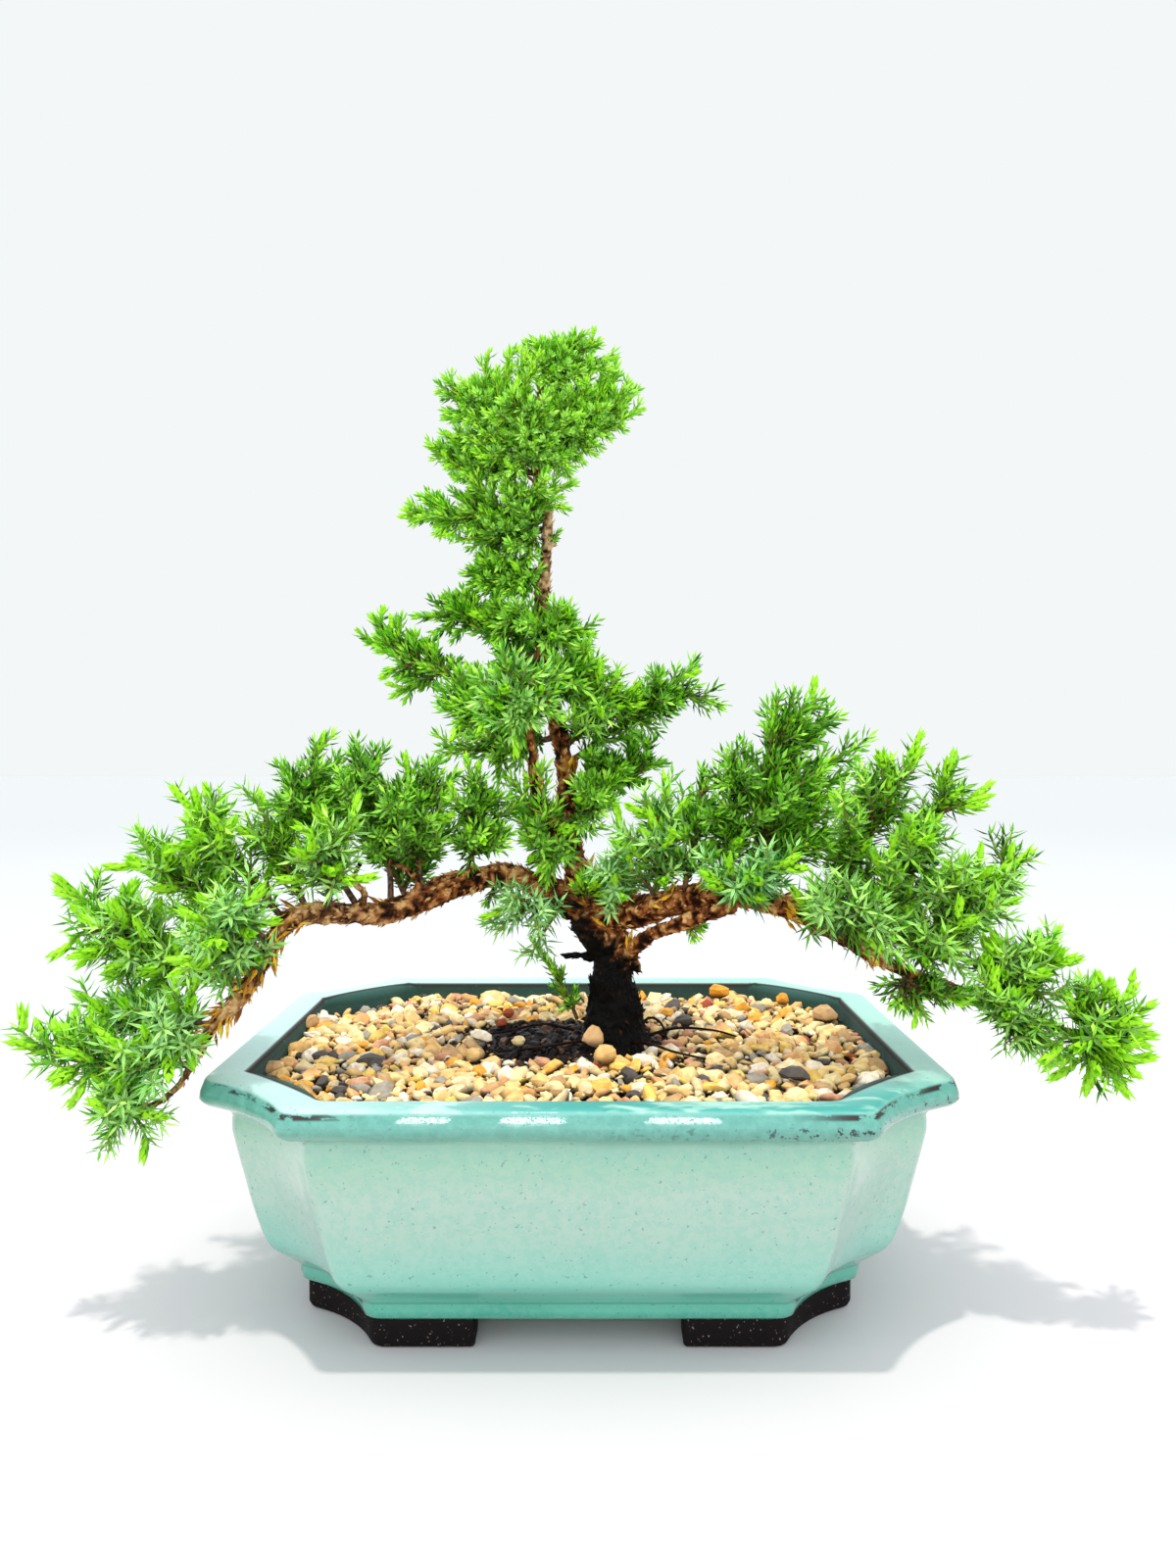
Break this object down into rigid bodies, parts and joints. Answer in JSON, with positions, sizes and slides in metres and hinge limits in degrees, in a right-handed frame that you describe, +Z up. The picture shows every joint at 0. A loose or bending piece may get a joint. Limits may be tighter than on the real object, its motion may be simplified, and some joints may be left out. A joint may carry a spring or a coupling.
{
  "type": "bonsai tree in a pot",
  "caption": "Small flaky juniper bonsai with a bent trunk, two spread limbs and spiky sprays, in a glazed rectangular pot with hollowed corners and gravel.",
  "frame": {"origin": "on the ground under the middle of the outline, seen from above", "axes": "+X to the right along the pot's long side, +Y to the back of the tree, +Z up"},
  "size_m": [0.311, 0.164, 0.2864],
  "materials": {
    "glaze": "glossy celadon glaze, the feet left bare and dark",
    "gravel": "smooth mixed pebbles, matt",
    "soil": "damp dark potting soil, matt",
    "plastic": "black moulded mesh",
    "bark": "rough flaky bark",
    "needles": "satin green needles"
  },
  "bodies": {
    "root": {"pot": "glaze", "drain_screen_left": "plastic", "drain_screen_right": "plastic", "soil": "soil", "gravel": "gravel", "trunk": "bark", "spray_crown_peak": "needles", "spray_crown_right": "needles", "spray_crown_left_top": "needles", "spray_crown_left": "needles", "spray_crown_front": "needles", "spray_crown_back": "needles", "spray_crown_low_left": "needles", "spray_neck_left": "needles", "spray_neck_left_low": "needles", "spray_fan_left": "needles", "spray_fan_left_upper": "needles", "spray_middle_top_left": "needles", "spray_middle_top": "needles", "spray_middle_right": "needles", "spray_middle_left": "needles", "spray_middle_low_left": "needles", "spray_middle_front": "needles", "spray_middle_back": "needles", "spray_right_mid": "needles", "spray_right_mid_bright": "needles", "spray_right_mid_low": "needles", "spray_low_trunk_right": "needles", "spray_low_trunk_left": "needles", "spray_bright_spray": "needles", "spray_branch_foot_spray": "needles", "spray_left_over_far": "needles", "spray_left_over_top": "needles", "spray_left_over_near": "needles", "spray_left_over_inner": "needles", "spray_left_over_back": "needles", "spray_left_bright_front": "needles", "spray_left_crest": "needles", "spray_left_crest_far": "needles", "spray_left_upper": "needles", "spray_left_front": "needles", "spray_left_reach": "needles", "spray_left_back": "needles", "spray_left_low": "needles", "spray_left_tip": "needles", "spray_left_bottom": "needles", "spray_right_thin": "needles", "spray_right_over_inner": "needles", "spray_right_over_top": "needles", "spray_right_front_star": "needles", "spray_right_crest": "needles", "spray_right_crest_far": "needles", "spray_right_slope": "needles", "spray_right_front": "needles", "spray_right_back": "needles", "spray_right_under": "needles", "spray_right_tip_high": "needles", "spray_right_tip": "needles", "spray_right_tip_low": "needles", "spray_under_left": "needles"}
  },
  "joints": []
}
